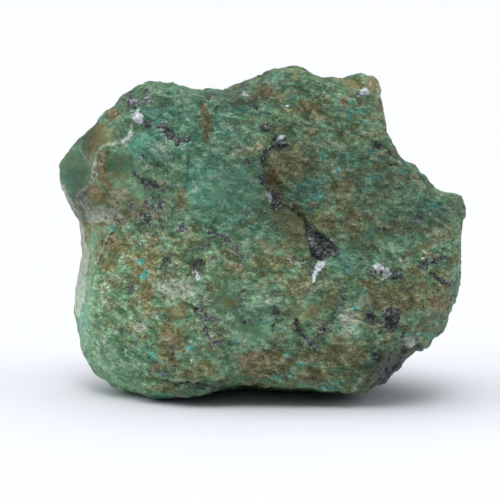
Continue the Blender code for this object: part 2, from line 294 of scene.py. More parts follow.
# Straight-sided breaks: (depth in mm, corners); a negative depth stands proud.
BREAKS = [
    (1.1, VEIN_POCKET), (0.7, POCKET_LIP), (0.6, VEIN_NOTCH), (0.8, TOP_LEDGE),
    (0.7, [(386, 309), (398, 312), (399, 322), (391, 331), (384, 323)]),
    (0.9, [(400, 345), (412, 347), (406, 354), (401, 352)]),
    (-0.7, [(402, 337), (410, 335), (415, 342), (412, 347), (404, 346)]),
    (-0.5, [(416, 349), (420, 340), (433, 332), (444, 330), (428, 346)]), (-0.7, KNOB),
    (0.6, [(98, 184), (104, 188), (108, 196), (106, 204), (103, 200), (103, 193)]),
    (0.5, [(104, 192), (112, 192), (128, 189), (126, 200), (118, 214), (104, 214)]),
    (0.5, SMALL_FACET), (0.6, [(372, 76), (379, 78), (379, 96), (373, 95)]), (0.6, TOP_SLIVER),
    (0.4, RIGHT_NOTCH), (1.0, [(384, 372), (396, 356), (407, 356), (400, 368), (388, 384)]),
]
recess = np.zeros(len(points))
for depth, wide, line in VEINS:
    gap = np.abs(beside(ragged_across, ragged_down, line))
    recess = np.maximum(recess, depth * smooth(wide * 1.3, wide * 0.3, gap))
recess = np.maximum(recess, patches(ragged_across, ragged_down, POCKETS))
for depth, corners in BREAKS:
    recess += depth * shards(bent_across, bent_down, [(1.0, corners)])
recess *= square_on

# Steps where one sheet of rock stands over the next: (height in mm, how far back it
# fades, its line); the sheet on the right of the line's travel stands proud.
STEPS = [
    (1.0, 60, [(276, 140), (262, 152), (261, 164), (262, 180), (272, 196), (290, 211),
               (303, 222), (315, 236), (342, 251)]),
    (0.7, 40, [(222, 379), (212, 381), (190, 379), (165, 378)]),
    (0.7, 30, [(440, 322), (405, 323), (375, 333), (358, 356), (352, 380)]),
    (0.6, 30, [(450, 190), (428, 182), (405, 176), (392, 152)]),
    (0.6, 25, [(174, 300), (186, 296), (200, 303), (206, 316)]),
    (0.5, 22, [(340, 384), (345, 362), (362, 345), (388, 330)]),
    (0.5, 25, [(226, 152), (246, 150), (262, 146)]),
    (0.3, 22, [(140, 152), (146, 168), (136, 186), (128, 200)]),
    (0.5, 20, [(238, 262), (250, 266), (262, 276), (282, 282)]),
]
RIDGE_HEIGHT, RIDGE_REACH = 0.7, 2.6  # in mm, and in squares to each side
relief = np.zeros(len(points))
for height, fade, line in STEPS:
    gap = beside(ragged_across, ragged_down, line)
    relief += height * smooth(-1.2, 1.2, gap) * np.exp(-np.maximum(0.0, gap) / fade) * square_on
ridge_gap = np.abs(beside(across, down, SCOOP_RIDGE))
relief += RIDGE_HEIGHT * smooth(RIDGE_REACH, 0.0, ridge_gap) * square_on

# Wider turns of the face: beyond a place it falls away by so much per unit, on a bearing
# in degrees anticlockwise from the right; and wide hollows and swells, whose strength is
# their height in mm.
TURNS = [
    (180, 300, 185, 0.20), (120, 350, 215, 0.20), (345, 190, 15, 0.12), (392, 350, 318, 0.45),
]
WIDE_FORMS = [
    (288, 214, 22, 34, -32, -1.8), (250, 190, 16, 34, 0, -0.5), (272, 196, 12, 22, -20, -0.8),
    (300, 285, 50, 26, 0, 0.8), (180, 280, 40, 30, 0, 0.9), (76, 174, 13, 20, 12, -1.6),
    (122, 170, 14, 15, 0, -1.0), (390, 285, 40, 20, 0, 0.6), (440, 236, 16, 18, 0, 0.7),
    (345, 318, 16, 20, 0, 0.7), (232, 356, 40, 10, 0, -0.6), (110, 140, 12, 10, 40, -0.7),
]
RISE_TOP, RISE_FOOT, RISE_BACK = 225, 345, 3.0  # between these levels it leans back so far
wide_relief = np.zeros(len(points))
for turn_across, turn_down, bearing, fall in TURNS:
    cos, sin = math.cos(math.radians(bearing)), math.sin(math.radians(bearing))
    beyond = (across - turn_across) * cos - (down - turn_down) * sin
    wide_relief -= fall * SQUARE * np.maximum(0.0, beyond)
for *blot, height in WIDE_FORMS:
    wide_relief += height * patches(across, down, [(*blot, 1.0)])
wide_relief += RISE_BACK * (0.5 - smooth(RISE_FOOT, RISE_TOP, down))

# Corners that stand out further: (a blot's five measures, squares to the right, and up).
NUDGES = [
    (62, 190, 16, 32, 0, -5.0, 0.0), (452, 318, 16, 36, 0, 3.0, 0.0),
    (424, 347, 7, 5, 0, 0.5, -4.5), (442, 187, 24, 12, 20, 0.0, -3.5),
    (60, 166, 8, 5, 0, -1.5, 0.0),
]


def chips(places, size, tilt, edge, shift):
    """Height of flat chips that meet at edges, each leaning its own way."""
    heights = []
    for place in (places / size + shift).tolist():
        gaps, cells = noise.voronoi(place)
        facets = []
        for gap, cell in zip(gaps, cells):
            lean = noise.cell_vector(cell * 17.0)
            rise = sum((lean[i] * 2.0 - 1.0) * (place[i] - cell[i]) for i in range(3))
            facets.append(tilt * size * rise + edge * (gap - gaps[0]))
        heights.append(min(facets))
    return np.array(heights)


def terraces(values, sharp):
    """Turns a slope into treads of 1 with risers between them."""
    tread = np.floor(values)
    return tread + smooth(0.5 - sharp, 0.5 + sharp, values - tread)


# The texture of the break, from coarse to fine: sizes in mm, and how high each stands.
BED_RISE = math.radians(24.0)  # the bedding's rise to the right
LAID_OUT = (0.42, 0.8, 1.0)  # small chips and crumbs are drawn out along the bedding
DRIFT, TREAD_HEIGHT = 9.0, 0.40  # low treads, which follow a wide drift of the surface
TREADS, TREAD_EDGE = 2.2, 2.4  # how many of them to the drift, and the size of their waver
CHIP, CHIP_HEIGHT = 4.4, 0.8
SMALL_CHIP, SMALL_CHIP_HEIGHT = 1.7, 0.65
CRUMB, CRUMB_HEIGHT = 0.85, 0.14
GRAIN, GRAIN_HEIGHT = 0.55, 0.06
CALMED = 0.88  # how much of it the shell-smooth parts lose
SWELL, SWELL_HEIGHT = 7.0, 0.10  # what they have instead
PITTED, PIT = 0.22, 0.9  # a recess's floor is pitted by this share of its depth
bedded = points @ np.array(Matrix.Rotation(BED_RISE, 3, "Y")) * LAID_OUT
drift = lumps(points, DRIFT, 2.0) + 0.5 * lumps(points, DRIFT / 2, 8.0)
treads = terraces(TREADS * drift + 0.6 * lumps(bedded, TREAD_EDGE, 4.0), 0.16) / TREADS
coarse = chips(points, CHIP, 0.20, 3.0, 0.3)
fine = chips(bedded, SMALL_CHIP, 0.34, 1.1, 6.0)
crumbs = lumps(bedded, CRUMB, 1.0)
grain = lumps(points, GRAIN, 9.0)
detail = TREAD_HEIGHT * (treads - 0.6 * drift) + CHIP_HEIGHT * coarse + SMALL_CHIP_HEIGHT * fine
detail += CRUMB_HEIGHT * crumbs + GRAIN_HEIGHT * grain
detail -= detail.mean()
detail *= 1.0 - CALMED * calm
detail += SWELL_HEIGHT * lumps(points, SWELL, 12.0) * calm
height = relief + detail - recess
height += recess * PITTED * lumps(points, PIT, 14.0)
moved = points + normals * (height * ground)[:, None]
moved[:, 1] -= wide_relief * fore * ground
for *blot, right, up in NUDGES:
    share = patches(across, down, [(*blot, 1.0)]) * fore * ground * SQUARE
    moved[:, 0] += right * share
    moved[:, 2] += up * share
moved[:, 2] = np.maximum(moved[:, 2], 0.0)
mesh.vertices.foreach_set("co", (moved * MM).ravel())
for polygon in mesh.polygons:
    polygon.use_smooth = True
mesh.update()

# Where each mineral shows on the broken face. The dark oxide lies in veins, in pockets and
# in crumbly nests.
OXIDE_BLOTS = [
    (131, 104, 9, 8, 0, 1.0), (146, 98, 9, 9, 0, 0.8), (146, 125, 5, 4, 0, 1.0),
    (132, 108, 10, 5, 30, 0.6), (152, 206, 12, 16, 0, 0.68), (147, 218, 8, 5, 0, 1.0),
    (160, 206, 5, 7, 0, 0.9), (181, 228, 8, 6, 0, 0.9), (212, 181, 5, 3, 0, 0.8),
    (248, 212, 3, 4, 0, 0.9), (249, 162, 3, 5, 0, 0.8), (263, 130, 6, 5, 20, 1.0),
    (244, 85, 7, 4, 10, 0.8), (255, 105, 7, 8, 0, 0.85), (209, 96, 8, 4, 0, 0.8),
    (148, 157, 6, 3, 0, 0.7), (140, 157, 3, 3, 0, 0.8), (322, 95, 6, 4, 0, 0.8),
    (324, 107, 7, 7, 0, 0.55), (362, 96, 7, 5, 0, 0.9), (283, 145, 9, 7, 0, 1.0),
    (391, 166, 2, 2, 0, 1.0), (269, 222, 7, 6, 0, 0.7), (312, 270, 3, 9, 15, 0.8),
    (321, 272, 2, 6, 15, 0.8), (380, 231, 9, 4, 0, 0.85), (418, 221, 3, 5, 0, 0.8),
    (375, 272, 8, 6, 0, 0.8), (396, 276, 9, 5, 0, 0.9), (426, 264, 9, 5, 0, 0.9),
    (369, 316, 4, 8, -15, 0.9), (325, 327, 7, 8, 0, 0.85), (378, 324, 5, 4, 0, 0.6),
    (275, 312, 6, 6, 0, 0.85), (438, 335, 4, 4, 0, 0.8), (305, 260, 2, 3, 0, 1.0),
    (374, 355, 8, 6, 0, 0.8), (140, 244, 5, 5, 0, 0.8), (170, 262, 9, 9, 0, 0.65),
    (130, 290, 4, 4, 0, 0.9), (127, 302, 3, 3, 0, 0.7), (198, 307, 5, 7, 0, 0.8),
    (208, 318, 9, 6, 0, 0.95), (219, 341, 6, 4, 0, 0.8), (246, 257, 6, 3, 0, 0.8),
    (243, 296, 7, 8, 0, 0.6), (246, 321, 7, 3, 0, 0.8), (204, 246, 6, 5, 0, 0.7),
    (165, 373, 7, 4, 0, 0.8), (130, 324, 4, 3, 0, 0.6), (305, 260, 3, 3, 0, 0.9),
    (146, 222, 9, 5, 0, 0.9), (161, 228, 6, 5, 0, 0.8), (152, 237, 6, 4, 0, 0.8),
    (118, 222, 5, 3, 0, 0.8), (132, 209, 4, 6, 0, 0.8), (170, 240, 5, 4, 0, 0.7),
    (96, 218, 10, 6, 0, 0.42), (390, 372, 24, 15, 30, 0.75), (352, 84, 11, 4, -8, 0.5),
    (273, 378, 5, 3, 0, 0.6), (320, 375, 5, 4, 0, 0.6), (197, 270, 6, 6, 30, 0.8),
    (120, 112, 6, 3, 40, 0.5), (104, 128, 7, 2, 45, 0.6), (176, 178, 5, 5, 0, 0.4),
    (300, 345, 6, 4, 0, 0.4),
]
OXIDE_SHARDS = [
    (1.0, VEIN_POCKET), (1.0, POCKET_LIP), (0.9, VEIN_NOTCH),
    (1.1, [(383, 310), (392, 306), (401, 312), (401, 323), (393, 333), (385, 332), (380, 321)]),
    (0.9, [(363, 309), (370, 308), (374, 318), (372, 325), (366, 320)]), (1.2, RIGHT_NOTCH),
    (1.0, [(429, 273), (440, 277), (453, 285), (453, 290), (441, 284), (430, 278)]),
    (0.75, [(293, 317), (299, 320), (308, 334), (317, 341), (316, 349), (305, 343), (297, 333)]),
    (0.7, [(141, 177), (150, 178), (160, 186), (160, 192), (150, 188)]),
    (0.9, [(384, 372), (396, 356), (407, 356), (400, 368), (388, 384), (376, 390)]),
]
OXIDE_LINES = [
    (3.6, 1.0, MAIN_VEIN), (1.6, 0.7, [(290, 210), (302, 219), (306, 224)]),
    (2.8, 0.95, LOW_VEIN), (2.0, 0.9, [(344, 291), (340, 300), (338, 306)]),
    (2.6, 0.75, [(337, 309), (332, 321), (325, 331)]),
    (2.6, 0.6, [(316, 345), (322, 336), (328, 331)]), (4.4, 0.92, LEFT_VEIN),
    (3.4, 0.95, SCOOP_VEIN), (3.0, 0.90, MIDDLE_VEIN), (2.2, 0.9, [(434, 263), (447, 257)]),
    (2.2, 1.0, [(186, 276), (195, 270), (200, 262)]), (1.6, 0.8, [(273, 314), (271, 334)]),
    (2.0, 0.7, THIN_VEIN), (1.7, 1.1, FOOT_VEIN), (2.4, 0.6, UPPER_CRACK),
    (1.8, 1.0, [(403, 331), (400, 337), (400, 347), (405, 352), (413, 351)]),
    (1.6, 0.9, [(414, 338), (418, 345), (424, 350)]),
    (2.0, 0.9, [(376, 386), (389, 366), (404, 351)]),
    (2.2, 0.9, [(384, 390), (396, 372), (407, 360)]), (1.6, 0.8, [(366, 384), (378, 364)]),
    (3.4, 1.0, [(203, 315), (217, 317)]),
    (2.6, 0.9, [(205, 318), (207, 331), (213, 340), (219, 344)]),
    (2.6, 0.7, [(240, 90), (262, 120), (276, 136)]),
]
# Olive and ochre iron stain, and where the stain is thinnest.
OLIVE_BLOTS = [
    (98, 138, 16, 13, 40, 0.8), (90, 158, 6, 14, 0, 0.7), (120, 300, 40, 50, 0, 0.4),
    (106, 262, 20, 24, 0, 0.5), (112, 228, 22, 9, 0, 0.7), (84, 236, 6, 20, -15, 0.7),
    (181, 198, 5, 15, 0, 0.8), (112, 116, 9, 7, 30, 0.8), (266, 92, 8, 9, 0, 0.8),
    (290, 166, 28, 16, -8, 0.85), (274, 186, 12, 14, 0, 0.8), (294, 226, 13, 22, -25, 0.8),
    (345, 140, 34, 9, 5, 0.5), (310, 108, 18, 8, 0, 0.7), (346, 102, 7, 7, 0, 0.6),
    (376, 86, 9, 14, 0, 0.8), (410, 176, 26, 10, -18, 0.5), (340, 225, 30, 8, -12, 0.8),
    (400, 228, 34, 10, -8, 0.6), (440, 236, 20, 14, 0, 0.5), (262, 362, 30, 15, 0, 1.0),
    (316, 375, 22, 10, 0, 0.9), (345, 352, 22, 18, 0, 0.9), (400, 300, 40, 18, 5, 0.9),
    (435, 300, 14, 12, 0, 0.9), (145, 262, 26, 34, 0, 0.75), (148, 300, 9, 26, 0, 0.8),
    (172, 345, 14, 26, 0, 0.9), (175, 312, 14, 9, 0, 0.8), (113, 248, 24, 10, 0, 0.8),
    (213, 285, 14, 14, 0, 0.5), (278, 262, 20, 10, 0, 0.7), (300, 285, 16, 12, 0, 0.8),
    (348, 282, 22, 10, 0, 0.6), (370, 248, 20, 8, 0, 0.5), (420, 272, 26, 8, 0, 0.6),
    (235, 268, 14, 6, 15, 0.7), (310, 312, 12, 8, 0, 0.7), (152, 376, 20, 6, 0, 0.4),
    (200, 368, 26, 10, 0, 0.7), (225, 340, 20, 12, 0, 0.5), (322, 290, 14, 8, -20, 0.6),
    (360, 118, 18, 12, 0, 0.4), (380, 365, 20, 14, 30, 0.6), (206, 128, 7, 22, 0, 0.7),
    (250, 152, 20, 7, 5, 0.5), (218, 112, 12, 16, 0, 0.4), (150, 232, 26, 9, 0, 0.6),
    (190, 246, 20, 12, 0, 0.5), (418, 250, 16, 8, 0, 0.4),
]
OLIVE_SHARDS = [
    (1.1, [(82, 146), (97, 131), (108, 134), (104, 146), (98, 152), (95, 164), (88, 160)]),
    (0.9, [(98, 156), (106, 149), (113, 150), (106, 160), (98, 180), (91, 186), (94, 176)]),
    (1.0, [(98, 166), (106, 164), (108, 178), (108, 190), (102, 190), (97, 182)]),
    (1.1, [(84, 194), (92, 186), (98, 187), (104, 193), (104, 202), (98, 207), (82, 208)]),
    (1.2, [(82, 206), (104, 206), (118, 214), (128, 210), (130, 224), (106, 230), (84, 226)]),
    (1.1, SCOOP_FOOT),
    (0.7, [(328, 170), (346, 172), (352, 192), (346, 214), (336, 208), (330, 190)]),
    (0.9, [(140, 203), (149, 204), (149, 216), (141, 216)]), (1.8, TOP_LEDGE),
    (0.9, [(373, 76), (379, 78), (379, 96), (374, 95)]), (0.9, TOP_SLIVER), (0.5, MIDDLE_HOLLOW),
    (0.55, [(216, 299), (222, 296), (236, 297), (239, 303), (234, 308), (219, 308)]),
    (0.8, [(164, 308), (172, 304), (186, 303), (188, 312), (184, 319), (168, 320)]),
    (0.5, [(266, 158), (300, 156), (320, 160), (318, 172), (296, 182), (282, 198), (268, 184)]),
]
GREEN_BLOTS = [
    (222, 190, 40, 40, 0, 1.0), (115, 366, 36, 26, 0, 0.8), (80, 170, 20, 26, 0, 0.5),
    (160, 124, 60, 40, 0, 1.0), (84, 320, 12, 50, 0, 0.4), (250, 320, 26, 24, 0, 0.8),
    (420, 215, 34, 14, -10, 0.6), (345, 265, 24, 14, 0, 0.6),
]
OCHRE_BLOTS = [
    (94, 196, 9, 7, 20, 0.75), (103, 176, 3, 13, 0, 0.9), (116, 191, 8, 2, 10, 0.8),
    (145, 209, 6, 6, 0, 0.8), (132, 218, 5, 7, 40, 0.7), (90, 142, 6, 4, 30, 0.5),
    (203, 108, 4, 9, -15, 0.9), (209, 138, 5, 8, 0, 0.7), (110, 116, 7, 5, 30, 0.8),
    (267, 90, 6, 6, 0, 0.9), (276, 197, 8, 5, -25, 0.9), (272, 172, 6, 14, 10, 0.8),
    (284, 160, 10, 4, 0, 0.6), (96, 222, 12, 7, 0, 0.4), (120, 240, 14, 7, 10, 0.6),
    (146, 270, 6, 16, 0, 0.7), (134, 286, 5, 16, 0, 0.6), (104, 276, 7, 12, -20, 0.5),
    (298, 207, 10, 4, -30, 0.7), (330, 214, 10, 4, 0, 0.6), (306, 108, 7, 4, 0, 0.8),
    (318, 113, 6, 4, 0, 0.6), (344, 102, 4, 5, 0, 0.8), (374, 82, 6, 9, 0, 0.6),
    (255, 358, 18, 8, 5, 0.9), (262, 376, 12, 5, 0, 0.6), (434, 304, 11, 8, 10, 0.9),
    (148, 300, 4, 18, 8, 0.8), (170, 335, 8, 7, 0, 1.0), (157, 366, 7, 3, 0, 0.9),
    (113, 247, 16, 5, 8, 0.7), (150, 240, 8, 6, 0, 0.6), (235, 266, 10, 3, 15, 0.8),
    (166, 280, 8, 5, 0, 0.6), (300, 262, 10, 4, 0, 0.5), (345, 130, 12, 4, 0, 0.5),
    (400, 178, 12, 4, -18, 0.6), (330, 362, 12, 5, 0, 0.6), (405, 305, 14, 5, 15, 0.5),
    (285, 248, 9, 4, 0, 0.4), (136, 226, 7, 4, 0, 0.5), (316, 312, 7, 6, 0, 0.6),
    (182, 200, 3, 10, 0, 0.6), (130, 346, 6, 3, 0, 0.4), (184, 372, 9, 4, 0, 0.6),
    (390, 292, 8, 3, 15, 0.5), (352, 340, 8, 4, 0, 0.4),
]
OCHRE_LINES = [(1.3, 0.6, SCOOP_RIDGE[2:]), (2.4, 0.7, [(101, 152), (98, 166), (95, 178)])]
# Blue-green and turquoise crusts of purer silicate.
BLUE_BLOTS = [
    (222, 188, 42, 42, 0, 0.62), (197, 182, 12, 26, 8, 1.1), (72, 184, 8, 14, 0, 0.6),
    (180, 95, 28, 9, 0, 0.5), (138, 143, 13, 9, 30, 1.0), (165, 116, 34, 15, 0, 0.75),
    (215, 120, 50, 34, 0, 0.65), (156, 146, 34, 20, 0, 0.75), (79, 300, 9, 60, 0, 0.8),
    (280, 80, 18, 7, 0, 0.9), (365, 158, 26, 10, 0, 0.7), (374, 186, 16, 11, 0, 0.7),
    (430, 208, 22, 11, -8, 0.7), (118, 362, 32, 28, 0, 0.25), (162, 392, 10, 8, 0, 0.9),
    (100, 320, 20, 34, 0, 0.3), (258, 236, 14, 9, 0, 0.9), (226, 255, 12, 7, 0, 0.9),
    (258, 322, 13, 17, 0, 0.5), (343, 262, 18, 14, 0, 0.75), (366, 282, 9, 9, 0, 0.7),
    (348, 318, 12, 16, 0, 0.7), (305, 380, 40, 6, -5, 0.8), (296, 150, 26, 8, 0, 0.4),
    (310, 196, 20, 16, 20, 1.3), (312, 214, 8, 8, 0, 0.9), (250, 122, 16, 12, 0, 0.4),
    (230, 220, 26, 10, 0, 0.6), (350, 108, 18, 10, 0, 0.6), (410, 246, 10, 6, 0, 0.5),
    (420, 196, 18, 6, -20, 0.5), (188, 386, 24, 5, 0, 0.5), (232, 350, 14, 8, 0, 0.4),
    (300, 365, 16, 8, 0, 0.5), (120, 215, 5, 5, 0, 0.5), (104, 222, 14, 5, 0, 0.4),
    (340, 172, 10, 9, 0, 0.6), (412, 172, 30, 10, -35, 0.7), (400, 240, 60, 24, 0, 0.35),
    (396, 262, 8, 8, 0, 0.5), (452, 206, 9, 12, 0, 0.5),
]
TURQUOISE_BLOTS = [
    (160, 123, 4, 4, 0, 1.4), (111, 231, 6, 4, 0, 0.6), (141, 261, 4, 3, 0, 1.3),
    (145, 275, 4, 5, 0, 1.2), (158, 268, 4, 4, 0, 0.5), (190, 346, 5, 4, 10, 1.5),
    (237, 340, 5, 4, 0, 0.9), (153, 355, 4, 5, 0, 0.8), (148, 346, 4, 6, 0, 0.5),
    (318, 196, 6, 8, 20, 0.8), (322, 158, 2, 8, 0, 0.8), (312, 184, 3, 3, 0, 0.7),
    (337, 170, 4, 5, 0, 0.8), (352, 102, 4, 3, 0, 0.9), (362, 112, 4, 4, 0, 0.9),
    (350, 117, 4, 3, 0, 0.8), (366, 122, 4, 3, 0, 0.8), (378, 180, 4, 3, 0, 0.7),
    (356, 307, 6, 3, 0, 0.9), (354, 326, 4, 6, 0, 0.6), (287, 354, 5, 4, 0, 0.9),
    (302, 364, 4, 3, 0, 0.9), (279, 377, 6, 3, 0, 0.8), (330, 388, 12, 2, -4, 0.9),
    (430, 336, 5, 4, 30, 0.9), (408, 333, 4, 3, 0, 0.9), (410, 252, 4, 3, 0, 0.5),
    (435, 208, 5, 4, 0, 0.7), (345, 272, 6, 4, 0, 0.6), (364, 247, 6, 3, 0, 0.6),
    (326, 158, 2, 8, 8, 0.8), (402, 198, 4, 3, 0, 0.5), (240, 225, 5, 3, 0, 0.5),
    (205, 222, 5, 3, 0, 0.5), (197, 166, 5, 4, 0, 0.5), (312, 80, 4, 3, 0, 0.7),
    (274, 78, 6, 3, 0, 0.7), (293, 98, 3, 5, 30, 0.6), (338, 98, 3, 3, 0, 0.6),
    (374, 262, 3, 3, 0, 0.6), (366, 292, 5, 4, 0, 0.5), (116, 96, 4, 2, 40, 0.4),
    (372, 354, 5, 5, 0, 0.7), (330, 300, 4, 3, 0, 0.4),
]
# Pale, bleached and clayey parts, and the bright cleavage edges and left flank, whose
# paleness is partly painted highlight where they catch the light.
PALE_BLOTS = [
    (178, 288, 24, 15, 0, 0.85), (102, 298, 5, 17, -15, 0.8), (235, 268, 12, 4, 15, 0.7),
    (350, 320, 12, 17, 0, 1.0), (374, 325, 13, 3, 20, 0.9), (295, 261, 9, 4, 0, 0.8),
    (268, 298, 20, 8, 0, 0.7), (309, 288, 8, 5, 0, 0.7), (440, 240, 18, 16, 0, 0.55),
    (246, 148, 22, 6, 5, 0.7), (225, 127, 9, 5, 0, 0.6), (83, 205, 8, 10, 0, 0.8),
    (82, 295, 13, 80, 0, 0.60), (88, 240, 8, 30, -15, 0.45), (126, 140, 8, 5, 35, 0.9),
    (206, 300, 12, 8, 20, 0.8), (141, 327, 7, 5, 0, 1.5), (155, 317, 5, 4, 0, 1.1),
    (168, 286, 5, 4, 0, 1.2), (213, 331, 5, 6, 0, 0.9), (120, 372, 34, 14, -10, 0.5),
    (100, 345, 16, 22, 0, 0.55), (98, 360, 14, 4, -35, 0.5), (400, 262, 6, 4, 0, 0.5),
    (424, 254, 6, 4, 0, 0.6), (330, 160, 6, 8, 0, 0.4), (300, 130, 12, 6, 0, 0.5),
    (286, 108, 7, 4, 30, 0.7), (186, 230, 14, 9, 0, 0.4), (148, 168, 6, 4, 0, 0.7),
    (160, 148, 20, 8, 10, 0.7), (228, 334, 8, 4, 20, 0.6), (345, 300, 8, 4, 0, 0.5),
    (216, 360, 10, 4, 20, 0.5), (440, 216, 12, 5, -20, 0.3), (462, 206, 3, 9, 0, 0.7),
    (379, 86, 2, 12, 0, 0.7), (250, 185, 12, 10, 0, 0.3), (196, 190, 9, 22, 0, 0.55),
    (200, 262, 14, 4, 20, 0.4), (276, 282, 14, 4, -10, 0.4), (334, 286, 10, 3, 0, 0.4),
    (104, 340, 7, 10, 0, 0.4),
]
PALE_SHARDS = [
    (1.3, [(54, 176), (63, 182), (72, 198), (78, 212), (84, 240), (72, 240), (62, 214)]),
    (0.95, [(74, 238), (84, 240), (90, 262), (88, 285), (84, 300), (82, 322), (74, 322),
            (70, 290)]), (0.65, SCOOP_FOOT),
    (0.95, [(84, 208), (104, 208), (124, 216), (124, 226), (84, 226)]),
    (0.8, [(98, 160), (104, 156), (104, 166), (98, 178), (90, 190), (93, 176)]),
    (0.7, [(366, 73), (378, 74), (379, 79), (366, 78)]),
    (0.6, [(396, 154), (403, 155), (414, 162), (410, 166), (400, 160)]),
    (1.4, [(403, 335), (411, 334), (415, 341), (413, 346), (404, 345)]),
]
PALE_LINES = [
    (1.15, 1.6, SCOOP_RIDGE), (1.6, 0.55, [(110, 176), (116, 184), (122, 187), (130, 182)]),
    (1.3, 0.8, [(77, 148), (82, 158), (90, 167), (92, 175)]),
    (2.0, 0.7, [(352, 388), (362, 378), (374, 366)]), (1.4, 0.6, [(436, 188), (460, 198)]),
    (1.8, 0.8, [(362, 392), (374, 380), (386, 362)]), (0.9, 1.0, [(437, 276), (451, 284)]),
    (1.2, 0.7, [(378, 378), (384, 366), (388, 354)]), (1.4, 0.8, [(372, 80), (372, 94)]),
    (1.4, 0.6, [(80, 200), (80, 215), (85, 235), (93, 258), (94, 270), (88, 282)]),
    (1.2, 1.3, [(95, 264), (107, 238)]), (1.4, 0.8, [(208, 96), (205, 106)]),
    (1.5, 0.8, [(134, 116), (131, 128), (126, 140)]), (1.2, 0.7, [(140, 126), (142, 142)]),
    (1.6, 0.8, [(372, 74), (379, 78), (380, 98)]), (1.3, 0.6, [(376, 98), (386, 116)]),
    (1.2, 0.5, [(112, 188), (124, 194), (134, 176)]), (1.4, 0.6, [(238, 346), (250, 335)]),
    (1.3, 0.7, [(366, 330), (380, 322), (392, 318)]), (1.2, 0.6, [(214, 334), (222, 352)]),
    (1.4, 0.7, [(400, 372), (372, 392)]), (1.2, 0.6, [(392, 150), (405, 178), (440, 190)]),
]
# Quartz and mica that catch the light: partly their own pale colour, partly a painted
# highlight where they glint.
GLINT_BLOTS = [
    (149, 100, 5, 5, 0, 0.6), (131, 101, 5, 3, 0, 0.7), (138, 110, 3, 1.5, 30, 0.9),
    (383, 279, 2, 2, 0, 1.0), (423, 260, 4, 1.6, 20, 0.8), (245, 95, 5, 3, -30, 0.9),
    (401, 260, 2, 2.5, 0, 0.9), (147, 123, 2, 2, 0, 0.4), (289, 259, 3, 2, 0, 0.8),
    (227, 88, 3, 2, 0, 0.8), (180, 97, 5, 2, 0, 0.7), (136, 102, 3, 2, 0, 0.7),
    (110, 142, 4, 2, 0, 0.5), (141, 245, 2, 2, 0, 0.8), (164, 247, 2, 2, 0, 0.7),
    (190, 251, 2, 2, 0, 0.6), (192, 359, 1.6, 1.6, 0, 1.0), (287, 107, 3, 2, 30, 0.8),
    (182, 91, 2, 2, 0, 0.6), (163, 155, 2, 2, 0, 0.6), (378, 230, 3, 2, 0, 0.6),
    (330, 240, 8, 1.2, -30, 0.8), (334, 247, 7, 1.0, -30, 0.7), (324, 253, 8, 1.2, -20, 0.6),
    (318, 243, 5, 1.0, -50, 0.6), (273, 310, 4, 1.2, 0, 0.7), (392, 312, 4, 1.4, 0, 0.5),
    (272, 206, 4, 1.2, -30, 0.5), (409, 342, 4, 3, 0, 0.6), (438, 279, 6, 1.0, -28, 0.6),
    (379, 356, 2, 4, 30, 0.4), (284, 148, 3, 1.2, 30, 0.5),
]
GLINT_SHARDS = [
    (1.3, [(131, 115), (137, 111), (143, 116), (142, 124), (137, 126), (133, 121)]),
    (1.7, [(276, 141), (279, 136), (286, 135), (283, 140)]),
    (1.8, [(264, 193), (268, 194), (272, 201), (270, 205), (267, 202)]),
    (1.35, [(315, 264), (319, 261), (328, 262), (323, 268), (319, 272), (315, 269)]),
    (1.2, [(314, 270), (320, 270), (317, 276), (315, 283), (311, 282), (311, 276)]),
    (1.2, [(195, 276), (198, 272), (202, 276), (199, 281)]),
    (1.1, [(190, 271), (196, 269), (198, 273), (192, 274)]),
    (1.8, [(373, 266), (378, 263), (384, 268), (379, 273)]),
    (1.7, [(382, 271), (388, 268), (392, 275), (385, 279)]),
    (1.8, [(359, 95), (364, 88), (368, 90), (371, 95)]),
    (1.15, [(120, 145), (125, 138), (130, 131), (134, 133), (131, 138), (125, 143)]),
    (0.7, [(406, 340), (411, 336), (414, 341), (411, 345)]),
]
